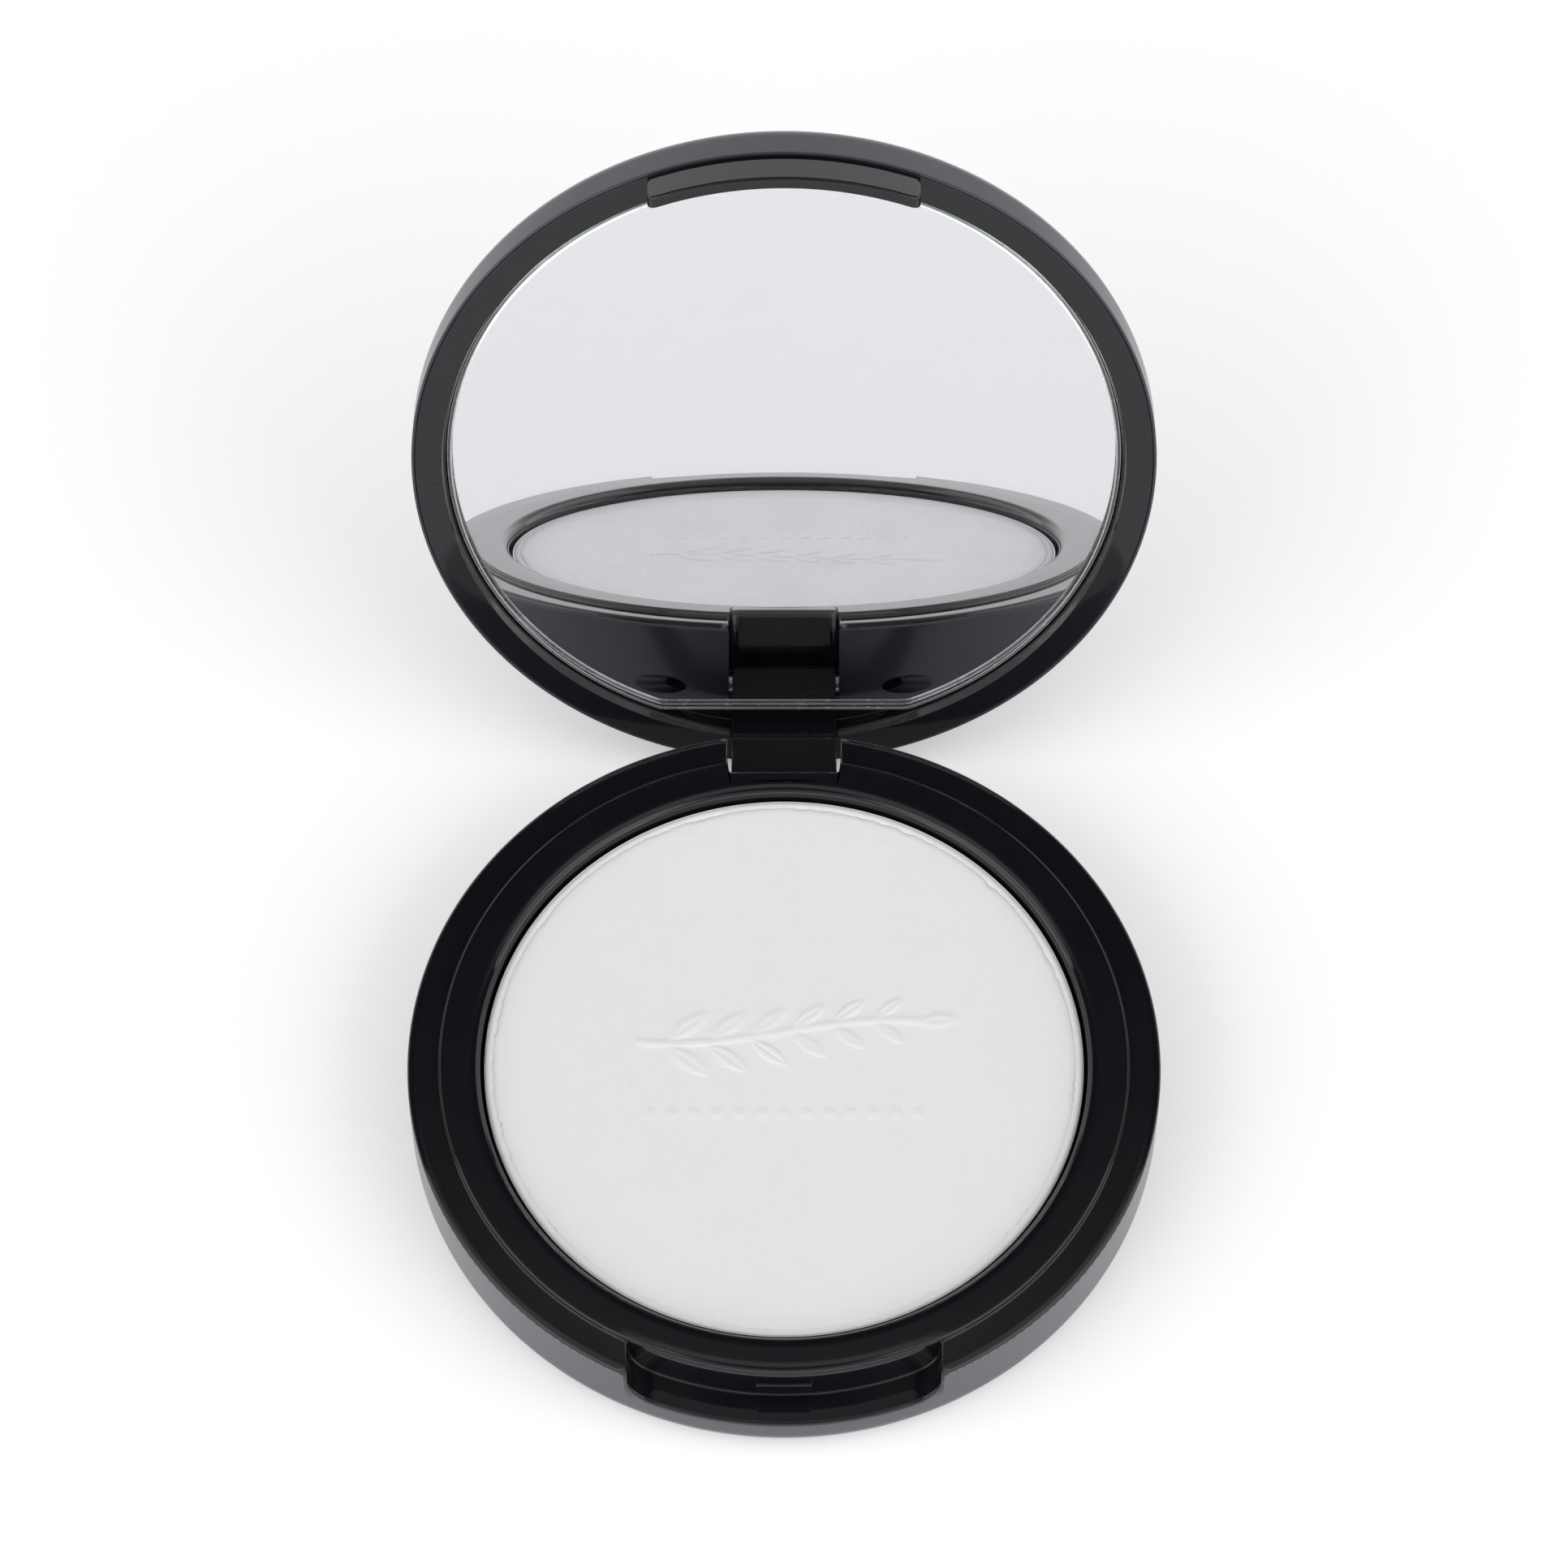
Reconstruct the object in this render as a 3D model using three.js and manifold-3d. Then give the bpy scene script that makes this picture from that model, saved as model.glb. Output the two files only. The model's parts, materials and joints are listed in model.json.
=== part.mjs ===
// A round powder compact, standing open: a shallow base that holds a pan of pressed powder,
// and a lid with a mirror that swings on two short pins at the back.
//
// Sizes are in millimetres and +Z is up. z = 0 is the underside of the base, the Z axis is the
// base's centre line and +Y points to the hinge. The lid's pieces are drawn in the closed
// position and then turned about the hinge pins to the open stop.
import * as THREE from "three";
import { mergeVertices } from "three/addons/utils/BufferGeometryUtils.js";
import Module from "manifold-3d";

const wasm = await Module();
wasm.setup();

// The whole case
const CASE_RADIUS = 37;
const BASE_HEIGHT = 10; // underside to the base's rim
const LID_THICKNESS = 6; // rim face to the top of the closed lid
const CLOSED_GAP = 0.25; // between the two rims when the lid is shut
const OPEN_ANGLE = 112.6; // degrees, from shut to the open stop
const SHELL_WALL = 1.2;
const BASE_CORNER = 3; // rounding of the base's bottom edge
const LID_CORNER = 2; // rounding of the lid's top edge
const FIT_GAP = 0.05; // between pieces that are pushed together

// The base's inner frame
const FLANGE_THICKNESS = 0.55;
const FLANGE_ROUNDING = 0.35;
const STEP_RADIUS = 33.84; // outer edge of the raised inner ring
const STEP_HEIGHT = 0.5; // of the raised ring above the rim
const ROLL_RADIUS = 31.1; // where the raised ring starts to roll down to the well
const WELL_RADIUS = 29.75;
const FRAME_WALL = 1;
const SKIRT_BOTTOM = 3.2;
const PUSH_HOLE_RADIUS = 2.5; // for pushing an empty pan out

// The powder pan and its filling
const PAN_RADIUS = 29.5;
const PAN_HEIGHT = 4.5;
const PAN_WALL = 0.35;
const PAN_DEPTH = 0.75; // of the pan's edge below the rim
const CAKE_PROUD = 0.2; // pressed powder above the pan's edge
const CAKE_BEVEL = 0.8;
const GLUE_THICKNESS = 0.15;
const GLUE_RADIUS = 3;
const GLUE_CIRCLE = 18; // distance of the glue dots from the centre
const GLUE_COUNT = 4;

// The thumb notch at the front and the catch in it
const NOTCH_HALF_WIDTH = 15;
const NOTCH_DEPTH = 4.5; // below the rim
const NOTCH_CORNER = 2.6;
const NOTCH_LINING = 0.6;
const CATCH_HALF_WIDTH = 2.8;
const CATCH_REACH = 0.6; // out of the notch's inner wall
const CATCH_TOP = 0.4; // start of the ramp, below the rim
const CATCH_RAMP = 0.6;
const CATCH_FACE = 0.7;

// The lid's frame, thumb tab and mirror
const LID_FLANGE_RADIUS = 36.9;
const LID_FLANGE_THICKNESS = 0.45;
const RECESS_RADIUS = 33.65;
const BEVEL_RADIUS = 34.27; // outer edge of the bevel that runs down to the mirror
const MIRROR_RADIUS = 33.5;
const MIRROR_DEPTH = 0.95; // of its face below the lid's rim face
const MIRROR_THICKNESS = 1.1;
const MIRROR_CHORD = 31; // the straight edge on the hinge side
const MIRROR_CORNER = 3;
const TAPE_SPACE = 0.25; // between the mirror's back and the frame
const TAPE_LENGTH = 36;
const TAPE_WIDTH = 8;
const TAPE_PITCH = 18;
const TAPE_COUNT = 3;
const TAB_HALF_WIDTH = 13.1;
const TAB_OUTER_RADIUS = 36.55;
const TAB_INNER_RADIUS = 34.9;
const TAB_DROP = 3.4; // below the lid's rim face
const TAB_CORNER = 1;
const RIDGE_RADIUS = 34.65; // inner edge of the ridge that goes under the catch
const RIDGE_HEIGHT = 1.2;
const RIDGE_HALF_WIDTH = 4;

// The hinge
const PIVOT_Y = 34.6;
const PIVOT_Z = 3.2;
const ARM_HALF_WIDTH = 5.35;
const ARM_HALF_THICKNESS = 2;
const SLOT_HALF_WIDTH = 5.7;
const SLOT_CLEARANCE = 0.3; // around the arm's round end
const STOP_GAP = 0.05; // between the arm and the edge it rests on when open
const BOSS_HALF_WIDTH = 11.5;
const BOSS_FRONT = 31.1;
const PIN_RADIUS = 0.9;
const PIN_INNER_END = 1.2;
const PIN_OUTER_END = 9.6;
const PIN_RUNNING_GAP = 0.06;
const PIN_HELD_GAP = 0.03;

// The label under the base
const LABEL_RADIUS = 16;
const LABEL_THICKNESS = 0.2;

// Fineness of the round shapes
const RING_SEGMENTS = 72;
const SMALL_SEGMENTS = 24;
const CORNER_STEPS = 5;
const MERGE_DISTANCE = 1e-4;
const BEYOND = 60; // reach of a cut that runs right out of the case

// Heights that follow from the sizes above
const FLANGE_BOTTOM = BASE_HEIGHT - FLANGE_THICKNESS;
const RING_TOP = BASE_HEIGHT + STEP_HEIGHT;
const PAN_TOP = BASE_HEIGHT - PAN_DEPTH;
const PAN_BOTTOM = PAN_TOP - PAN_HEIGHT;
const WELL_FLOOR = PAN_BOTTOM - GLUE_THICKNESS;
const NOTCH_FLOOR = BASE_HEIGHT - NOTCH_DEPTH;
const LID_RIM = BASE_HEIGHT + CLOSED_GAP;
const LID_TOP = LID_RIM + LID_THICKNESS;
const MIRROR_FACE = LID_RIM + MIRROR_DEPTH;
const MIRROR_BACK = MIRROR_FACE + MIRROR_THICKNESS;
const RECESS_FLOOR = MIRROR_BACK + TAPE_SPACE;
const LID_FRAME_TOP = RECESS_FLOOR + FRAME_WALL;
const SHELL_INNER_RADIUS = CASE_RADIUS - SHELL_WALL;
const FRAME_RADIUS = SHELL_INNER_RADIUS - FIT_GAP;

// ---- Ways of making solids ----

const point = (x, y) => new THREE.Vector2(x, y);

function arc(x, y, radius, fromDegrees, toDegrees, steps = CORNER_STEPS) {
  return Array.from({ length: steps + 1 }, (_, step) => {
    const angle = THREE.MathUtils.degToRad(fromDegrees + ((toDegrees - fromDegrees) * step) / steps);
    return point(x + radius * Math.cos(angle), y + radius * Math.sin(angle));
  });
}

// Joins a closed geometry's shared corners, drops the empty triangles and makes it a solid.
function toSolid(geometry) {
  geometry.deleteAttribute("normal");
  geometry.deleteAttribute("uv");
  const merged = mergeVertices(geometry, MERGE_DISTANCE);
  const index = merged.getIndex().array;
  const triangles = [];
  for (let i = 0; i < index.length; i += 3) {
    const [a, b, c] = [index[i], index[i + 1], index[i + 2]];
    if (a !== b && b !== c && c !== a) {
      triangles.push(a, b, c);
    }
  }
  const vertProperties = Float32Array.from(merged.getAttribute("position").array);
  const triVerts = Uint32Array.from(triangles);
  return new wasm.Manifold(new wasm.Mesh({ numProp: 3, vertProperties, triVerts }));
}

// Turns a profile of (radius, height) points about the Z axis. The profile runs anticlockwise
// and either starts and ends on the axis or is closed here.
function turned(profile, segments = RING_SEGMENTS) {
  const onAxis = profile[0].x === 0;
  const closed = onAxis ? profile : [...profile, profile[0].clone()];
  return toSolid(new THREE.LatheGeometry(closed, segments).rotateX(Math.PI / 2));
}

function disc(radius, bottom, top, segments = RING_SEGMENTS) {
  return turned([point(0, bottom), point(radius, bottom), point(radius, top), point(0, top)], segments);
}

function ring(innerRadius, outerRadius, bottom, top) {
  return turned([
    point(innerRadius, bottom),
    point(outerRadius, bottom),
    point(outerRadius, top),
    point(innerRadius, top),
  ]);
}

function extruded(outline, depth) {
  const settings = { depth, bevelEnabled: false, steps: 1 };
  return new THREE.ExtrudeGeometry(new THREE.Shape(outline), settings);
}

// An outline of (x, y) points, raised from one height to another.
function raised(outline, bottom, top) {
  return toSolid(extruded(outline, top - bottom).translate(0, 0, bottom));
}

// An outline of (x, z) points, extruded between two values of y.
function alongY(outline, fromY, toY) {
  return toSolid(extruded(outline, toY - fromY).rotateX(Math.PI / 2).translate(0, toY, 0));
}

// An outline of (y, z) points, extruded between two values of x.
function alongX(outline, fromX, toX) {
  const turn = new THREE.Matrix4().makeBasis(
    new THREE.Vector3(0, 1, 0),
    new THREE.Vector3(0, 0, 1),
    new THREE.Vector3(1, 0, 0),
  );
  return toSolid(extruded(outline, toX - fromX).applyMatrix4(turn).translate(fromX, 0, 0));
}

function block(fromX, toX, fromY, toY, fromZ, toZ) {
  const box = new THREE.BoxGeometry(toX - fromX, toY - fromY, toZ - fromZ);
  return toSolid(box.translate((fromX + toX) / 2, (fromY + toY) / 2, (fromZ + toZ) / 2));
}

// A round bar along X, centred on the hinge line.
function hingeBar(radius, fromX, toX) {
  const bar = new THREE.CylinderGeometry(radius, radius, toX - fromX, SMALL_SEGMENTS);
  return toSolid(bar.rotateZ(Math.PI / 2).translate((fromX + toX) / 2, PIVOT_Y, PIVOT_Z));
}

function material(color, roughness, metalness = 0) {
  return new THREE.MeshStandardMaterial({ color, roughness, metalness });
}

function piece(name, solid, look) {
  const { vertProperties, triVerts } = solid.getMesh();
  const geometry = new THREE.BufferGeometry();
  geometry.setAttribute("position", new THREE.BufferAttribute(vertProperties, 3));
  geometry.setIndex(new THREE.BufferAttribute(triVerts, 1));
  geometry.computeVertexNormals();
  const mesh = new THREE.Mesh(geometry, look);
  mesh.name = name;
  return mesh;
}

// ---- Shapes that more than one piece follows ----

// The thumb notch, as seen from the front, grown by a margin on its sides and floor.
function notchOutline(margin) {
  const halfWidth = NOTCH_HALF_WIDTH + margin;
  const floor = NOTCH_FLOOR - margin;
  const corner = NOTCH_CORNER + margin;
  return [
    point(halfWidth, BEYOND),
    point(-halfWidth, BEYOND),
    ...arc(-halfWidth + corner, floor + corner, corner, 180, 270),
    ...arc(halfWidth - corner, floor + corner, corner, 270, 360),
  ];
}

// The part of the notch that lies outside the raised ring's wall.
function notchSpace(margin, wallRadius) {
  const cut = alongY(notchOutline(margin), -BEYOND, 0);
  return cut.subtract(disc(wallRadius, -1, BASE_HEIGHT + BEYOND));
}

// The slot for the hinge arm: a front wall, a round floor under the hinge line and then a slope
// that the open arm rests on, which runs out through the lower back edge of the base.
function hingeSlot() {
  const reach = ARM_HALF_THICKNESS + SLOT_CLEARANCE;
  const restAngle = 360 - OPEN_ANGLE; // direction in which the arm's back faces when it is open
  const rest = arc(PIVOT_Y, PIVOT_Z, ARM_HALF_THICKNESS + STOP_GAP, restAngle, restAngle, 1)[0];
  const slope = THREE.MathUtils.degToRad(restAngle + 90);
  const outline = [
    point(PIVOT_Y - reach, BEYOND),
    ...arc(PIVOT_Y, PIVOT_Z, reach, 180, restAngle),
    rest,
    point(rest.x + BEYOND * Math.cos(slope), rest.y + BEYOND * Math.sin(slope)),
    point(rest.x + BEYOND * Math.cos(slope), BEYOND),
  ];
  return alongX(outline, -SLOT_HALF_WIDTH, SLOT_HALF_WIDTH);
}

// The room inside the base's shell, which the frame's own parts must stay within.
function baseCavity() {
  const corner = BASE_CORNER - SHELL_WALL;
  const floor = SHELL_WALL + FIT_GAP;
  return turned([
    point(0, floor),
    ...arc(FRAME_RADIUS - corner, floor + corner, corner, -90, 0),
    point(FRAME_RADIUS, FLANGE_BOTTOM),
    point(0, FLANGE_BOTTOM),
  ]);
}

// ---- Base ----

function baseShell() {
  const innerCorner = BASE_CORNER - SHELL_WALL;
  const cup = turned([
    point(0, LABEL_THICKNESS),
    point(LABEL_RADIUS, LABEL_THICKNESS),
    point(LABEL_RADIUS, 0),
    ...arc(CASE_RADIUS - BASE_CORNER, BASE_CORNER, BASE_CORNER, -90, 0),
    point(CASE_RADIUS, FLANGE_BOTTOM),
    point(SHELL_INNER_RADIUS, FLANGE_BOTTOM),
    ...arc(SHELL_INNER_RADIUS - innerCorner, SHELL_WALL + innerCorner, innerCorner, 0, -90),
    point(0, SHELL_WALL),
  ]);
  const margin = NOTCH_LINING + FIT_GAP;
  const notch = notchSpace(margin, STEP_RADIUS - FRAME_WALL - FIT_GAP);
  const pinHoles = hingeBar(PIN_RADIUS + PIN_RUNNING_GAP, -2 * PIN_OUTER_END, 2 * PIN_OUTER_END);
  return cup.subtract(notch).subtract(hingeSlot()).subtract(pinHoles);
}

function baseFrame() {
  const rollHeight = 0.9;
  const body = turned([
    point(PUSH_HOLE_RADIUS, WELL_FLOOR - FRAME_WALL),
    point(WELL_RADIUS + FRAME_WALL, WELL_FLOOR - FRAME_WALL),
    point(WELL_RADIUS + FRAME_WALL, FLANGE_BOTTOM),
    point(FRAME_RADIUS - FRAME_WALL, FLANGE_BOTTOM),
    point(FRAME_RADIUS - FRAME_WALL, SKIRT_BOTTOM),
    point(FRAME_RADIUS, SKIRT_BOTTOM),
    point(FRAME_RADIUS, FLANGE_BOTTOM),
    point(CASE_RADIUS, FLANGE_BOTTOM),
    ...arc(CASE_RADIUS - FLANGE_ROUNDING, BASE_HEIGHT - FLANGE_ROUNDING, FLANGE_ROUNDING, 0, 90, 3),
    point(STEP_RADIUS, BASE_HEIGHT),
    point(STEP_RADIUS, RING_TOP),
    ...arc(ROLL_RADIUS, RING_TOP - rollHeight, rollHeight, 90, 165, 4),
    point(WELL_RADIUS, PAN_TOP),
    point(WELL_RADIUS, WELL_FLOOR),
    point(PUSH_HOLE_RADIUS, WELL_FLOOR),
  ]);
  const lining = alongY(notchOutline(NOTCH_LINING), -BEYOND, 0).intersect(
    ring(STEP_RADIUS - FRAME_WALL, CASE_RADIUS, NOTCH_FLOOR - NOTCH_LINING, BASE_HEIGHT),
  );
  const boss = block(-BOSS_HALF_WIDTH, BOSS_HALF_WIDTH, BOSS_FRONT, CASE_RADIUS, 0, BASE_HEIGHT);
  const pinHoles = hingeBar(PIN_RADIUS + PIN_HELD_GAP, -BEYOND, BEYOND);
  return body
    .add(lining)
    .add(boss.intersect(baseCavity()))
    .subtract(notchSpace(0, STEP_RADIUS))
    .subtract(hingeSlot())
    .subtract(pinHoles)
    .add(catchNose());
}

// The catch's side view is a ramp, a face and a flat underside.
function catchNose() {
  const root = -STEP_RADIUS + FRAME_WALL / 2;
  const nose = -STEP_RADIUS - CATCH_REACH;
  const rampTop = BASE_HEIGHT - CATCH_TOP;
  const rampBottom = rampTop - CATCH_RAMP;
  const outline = [
    point(root, rampTop),
    point(nose, rampBottom),
    point(nose, rampBottom - CATCH_FACE),
    point(root, rampBottom - CATCH_FACE),
  ];
  return alongX(outline, -CATCH_HALF_WIDTH, CATCH_HALF_WIDTH);
}

function powderPan() {
  const corner = PAN_WALL;
  return turned([
    point(0, PAN_BOTTOM),
    ...arc(PAN_RADIUS - corner, PAN_BOTTOM + corner, corner, -90, 0, 2),
    point(PAN_RADIUS, PAN_TOP),
    point(PAN_RADIUS - PAN_WALL, PAN_TOP),
    point(PAN_RADIUS - PAN_WALL, PAN_BOTTOM + PAN_WALL),
    point(0, PAN_BOTTOM + PAN_WALL),
  ]);
}

function powderCake() {
  const radius = PAN_RADIUS - PAN_WALL - FIT_GAP;
  const top = PAN_TOP + CAKE_PROUD;
  return turned([
    point(0, PAN_BOTTOM + PAN_WALL),
    point(radius, PAN_BOTTOM + PAN_WALL),
    point(radius, PAN_TOP - CAKE_PROUD),
    point(radius - CAKE_BEVEL, top),
    point(0, top),
  ]);
}

// ---- Lid, drawn shut ----

function lidShell() {
  const innerTop = LID_TOP - SHELL_WALL;
  const innerCorner = LID_CORNER - SHELL_WALL;
  const edge = LID_RIM + LID_FLANGE_THICKNESS + FIT_GAP;
  return turned([
    point(0, innerTop),
    ...arc(SHELL_INNER_RADIUS - innerCorner, innerTop - innerCorner, innerCorner, 90, 0, 3),
    point(SHELL_INNER_RADIUS, edge),
    point(CASE_RADIUS, edge),
    ...arc(CASE_RADIUS - LID_CORNER, LID_TOP - LID_CORNER, LID_CORNER, 0, 90),
    point(0, LID_TOP),
  ]);
}

function lidFrame() {
  const body = turned([
    point(0, RECESS_FLOOR),
    point(RECESS_RADIUS, RECESS_FLOOR),
    point(RECESS_RADIUS, MIRROR_FACE),
    point(BEVEL_RADIUS, LID_RIM),
    point(LID_FLANGE_RADIUS, LID_RIM),
    point(LID_FLANGE_RADIUS, LID_RIM + LID_FLANGE_THICKNESS),
    point(FRAME_RADIUS, LID_RIM + LID_FLANGE_THICKNESS),
    point(FRAME_RADIUS, LID_FRAME_TOP),
    point(0, LID_FRAME_TOP),
  ]);
  const bores = [-1, 1].map((side) => {
    const ends = [side * (PIN_INNER_END - 0.2), side * BEYOND];
    return hingeBar(PIN_RADIUS + PIN_RUNNING_GAP, Math.min(...ends), Math.max(...ends));
  });
  return body.add(thumbTab()).add(hingeArm()).subtract(bores[0]).subtract(bores[1]);
}

// A curved tab with rounded lower corners, and a ridge inside it that goes under the catch.
function thumbTab() {
  const bottom = LID_RIM - TAB_DROP;
  const top = LID_RIM + LID_FLANGE_THICKNESS;
  const front = [
    point(TAB_HALF_WIDTH, top),
    point(-TAB_HALF_WIDTH, top),
    ...arc(-TAB_HALF_WIDTH + TAB_CORNER, bottom + TAB_CORNER, TAB_CORNER, 180, 270, 4),
    ...arc(TAB_HALF_WIDTH - TAB_CORNER, bottom + TAB_CORNER, TAB_CORNER, 270, 360, 4),
  ];
  const round = 0.45;
  const wall = turned([
    point(TAB_INNER_RADIUS, bottom),
    ...arc(TAB_OUTER_RADIUS - round, bottom + round, round, -90, 0, 3),
    point(TAB_OUTER_RADIUS, top),
    point(TAB_INNER_RADIUS, top),
  ]);
  const ridge = ring(RIDGE_RADIUS, TAB_INNER_RADIUS + round, bottom, bottom + RIDGE_HEIGHT);
  const ridgeSpan = block(-RIDGE_HALF_WIDTH, RIDGE_HALF_WIDTH, -BEYOND, 0, 0, BEYOND);
  return alongY(front, -BEYOND, 0).intersect(wall).add(ridge.intersect(ridgeSpan));
}

// The arm's side view: straight sides and a round end about the hinge line.
function hingeArm() {
  const sides = alongX(
    [
      ...arc(PIVOT_Y, PIVOT_Z, ARM_HALF_THICKNESS, 180, 360, 10),
      point(PIVOT_Y + ARM_HALF_THICKNESS, RECESS_FLOOR + FRAME_WALL / 2),
      point(PIVOT_Y - ARM_HALF_THICKNESS, RECESS_FLOOR + FRAME_WALL / 2),
    ],
    -ARM_HALF_WIDTH,
    ARM_HALF_WIDTH,
  );
  const besideShell = disc(CASE_RADIUS, 0, LID_RIM + LID_FLANGE_THICKNESS);
  const insideShell = disc(FRAME_RADIUS, LID_RIM, LID_FRAME_TOP);
  return sides.intersect(besideShell.add(insideShell));
}

// A glass disc with one straight edge beside the hinge.
function mirrorGlass() {
  const centreDistance = MIRROR_RADIUS - MIRROR_CORNER;
  const cornerY = MIRROR_CHORD - MIRROR_CORNER;
  const cornerX = Math.sqrt(centreDistance ** 2 - cornerY ** 2);
  const cornerAngle = THREE.MathUtils.radToDeg(Math.atan2(cornerY, cornerX));
  const outline = [
    ...arc(cornerX, cornerY, MIRROR_CORNER, cornerAngle, 90, 3),
    ...arc(-cornerX, cornerY, MIRROR_CORNER, 90, 180 - cornerAngle, 3),
    ...arc(0, 0, MIRROR_RADIUS, 180 - cornerAngle, 360 + cornerAngle, 60).slice(1, -1),
  ];
  return raised(outline, MIRROR_FACE, MIRROR_BACK);
}

function tapeStrip(y) {
  const bottom = MIRROR_BACK + FIT_GAP;
  const top = RECESS_FLOOR - FIT_GAP;
  return block(-TAPE_LENGTH / 2, TAPE_LENGTH / 2, y - TAPE_WIDTH / 2, y + TAPE_WIDTH / 2, bottom, top);
}

// ---- Assembly ----

const compact = new THREE.Group();
compact.name = "powder_compact";

compact.add(piece("base_shell", baseShell(), material(0x47464b, 0.62)));
compact.add(piece("base_frame", baseFrame(), material(0x0d0e11, 0.16)));
compact.add(piece("powder_pan", powderPan(), material(0xc9cbce, 0.35, 1)));
compact.add(piece("powder_cake", powderCake(), material(0xe9eaec, 0.95)));

for (let i = 0; i < GLUE_COUNT; i += 1) {
  const angle = ((i + 0.5) * 2 * Math.PI) / GLUE_COUNT;
  const dot = disc(GLUE_RADIUS, WELL_FLOOR, PAN_BOTTOM, SMALL_SEGMENTS);
  const mesh = piece(`pan_glue_${i + 1}`, dot, material(0xe6e2d2, 0.5));
  mesh.position.set(GLUE_CIRCLE * Math.cos(angle), GLUE_CIRCLE * Math.sin(angle), 0);
  compact.add(mesh);
}

for (const [name, side] of [["hinge_pin_left", -1], ["hinge_pin_right", 1]]) {
  const ends = [side * PIN_INNER_END, side * PIN_OUTER_END];
  const pin = hingeBar(PIN_RADIUS, Math.min(...ends), Math.max(...ends));
  compact.add(piece(name, pin, material(0xb9bbbf, 0.3, 1)));
}

const label = disc(LABEL_RADIUS - FIT_GAP, 0, LABEL_THICKNESS - FIT_GAP);
compact.add(piece("base_label", label, material(0xd9d9da, 0.7)));

const lid = new THREE.Group();
lid.position.set(0, PIVOT_Y, PIVOT_Z);
lid.rotation.x = THREE.MathUtils.degToRad(-OPEN_ANGLE);
const lidPieces = [
  piece("lid_shell", lidShell(), material(0x47464b, 0.62)),
  piece("lid_frame", lidFrame(), material(0x0d0e11, 0.16)),
  piece("mirror", mirrorGlass(), material(0xe4e7ea, 0.03, 1)),
];
for (let i = 0; i < TAPE_COUNT; i += 1) {
  const y = (i - (TAPE_COUNT - 1) / 2) * TAPE_PITCH;
  lidPieces.push(piece(`mirror_tape_${i + 1}`, tapeStrip(y), material(0xf2f2ee, 0.8)));
}
for (const lidPiece of lidPieces) {
  lidPiece.position.set(0, -PIVOT_Y, -PIVOT_Z);
  lid.add(lidPiece);
}
compact.add(lid);

export default compact;
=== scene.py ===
import json
import math
import random

import bmesh
import bpy
from mathutils import Matrix, Vector


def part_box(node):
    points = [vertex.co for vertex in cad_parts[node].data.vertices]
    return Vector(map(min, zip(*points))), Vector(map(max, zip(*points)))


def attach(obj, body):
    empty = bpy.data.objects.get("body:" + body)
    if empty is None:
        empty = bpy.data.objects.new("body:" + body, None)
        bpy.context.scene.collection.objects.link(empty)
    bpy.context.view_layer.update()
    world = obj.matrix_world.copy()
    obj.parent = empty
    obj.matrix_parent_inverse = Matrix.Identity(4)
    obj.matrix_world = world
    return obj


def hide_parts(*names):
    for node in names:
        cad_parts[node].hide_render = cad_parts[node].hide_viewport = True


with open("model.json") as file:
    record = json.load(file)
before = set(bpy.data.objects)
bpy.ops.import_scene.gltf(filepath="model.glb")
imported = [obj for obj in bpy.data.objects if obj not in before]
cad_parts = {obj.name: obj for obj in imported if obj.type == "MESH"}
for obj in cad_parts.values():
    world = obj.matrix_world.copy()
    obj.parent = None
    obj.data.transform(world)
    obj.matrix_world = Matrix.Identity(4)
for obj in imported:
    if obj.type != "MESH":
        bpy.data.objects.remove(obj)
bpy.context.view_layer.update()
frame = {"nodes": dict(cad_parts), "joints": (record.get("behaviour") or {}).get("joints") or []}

# Lengths below are in millimetres in the part's frame: z = 0 is the base's underside, the Z axis
# is its centre line and +Y points to the hinge. Lid pieces are drawn shut and placed by LID_PLACE.
MM = 0.001
MERGE_DISTANCE = 1e-7  # in metres


def corner(node, side):
    """The lowest (0) or highest (1) corner of a CAD node, in millimetres."""
    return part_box(node)[side] / MM


# ---- Sizes taken from the frame ----
HINGE = frame["joints"][0]
PIVOT = Vector(HINGE["pos_m"]) / MM
OPEN_ANGLE = math.radians(HINGE["range_deg"][1])
LID_PLACE = (
    Matrix.Translation(PIVOT * MM)
    @ Matrix.Rotation(-OPEN_ANGLE, 4, "X")
    @ Matrix.Translation(-PIVOT * MM)
)
CASE_R = corner("base_shell", 1).x
SHELL_TOP = corner("base_shell", 1).z
RING_TOP = corner("base_frame", 1).z
PAN_R = corner("powder_pan", 1).x
PAN_TOP = corner("powder_pan", 1).z
PAN_BOTTOM = corner("powder_pan", 0).z
CAKE_TOP = corner("powder_cake", 1).z
LABEL_R = corner("base_label", 1).x
PIN_R = (corner("hinge_pin_left", 1).z - corner("hinge_pin_left", 0).z) / 2
PIN_ENDS = (corner("hinge_pin_right", 0).x, corner("hinge_pin_right", 1).x)
MIRROR_R = corner("mirror", 1).x

# ---- The case's other sizes ----
RIM = RING_TOP - 0.5  # top of the base's outer flange
WALL = 1.2  # of both shells
BASE_CORNER = 3.0
LID_CORNER = 3.0
LID_RIM = RIM + 0.25
LID_TOP = LID_RIM + 6.0
LID_FLANGE_R = 36.66
STEP_R = 33.84  # outer edge of the raised ring
WELL_R = 29.75
WELL_FLOOR = PAN_BOTTOM - 0.15
PUSH_HOLE_R = 2.5
LIP_R = 1.07  # rounding of the ring's inner edge
LIP_CENTRE = 30.87
FOOT_R = 0.22  # rounding between the ring's wall and the flange
NOTCH_HALF = 15.0
NOTCH_FLOOR = RIM - 4.5
NOTCH_CORNER = 2.6
LINING = 0.6
NOTCH_LINING = 0.3
SLOT_HALF = 5.7
SLOT_FRONT = PIVOT.y - 2.3  # the slot's front wall
SLOT_FLOOR = 1.6
SLOT_R = 2.3
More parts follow.
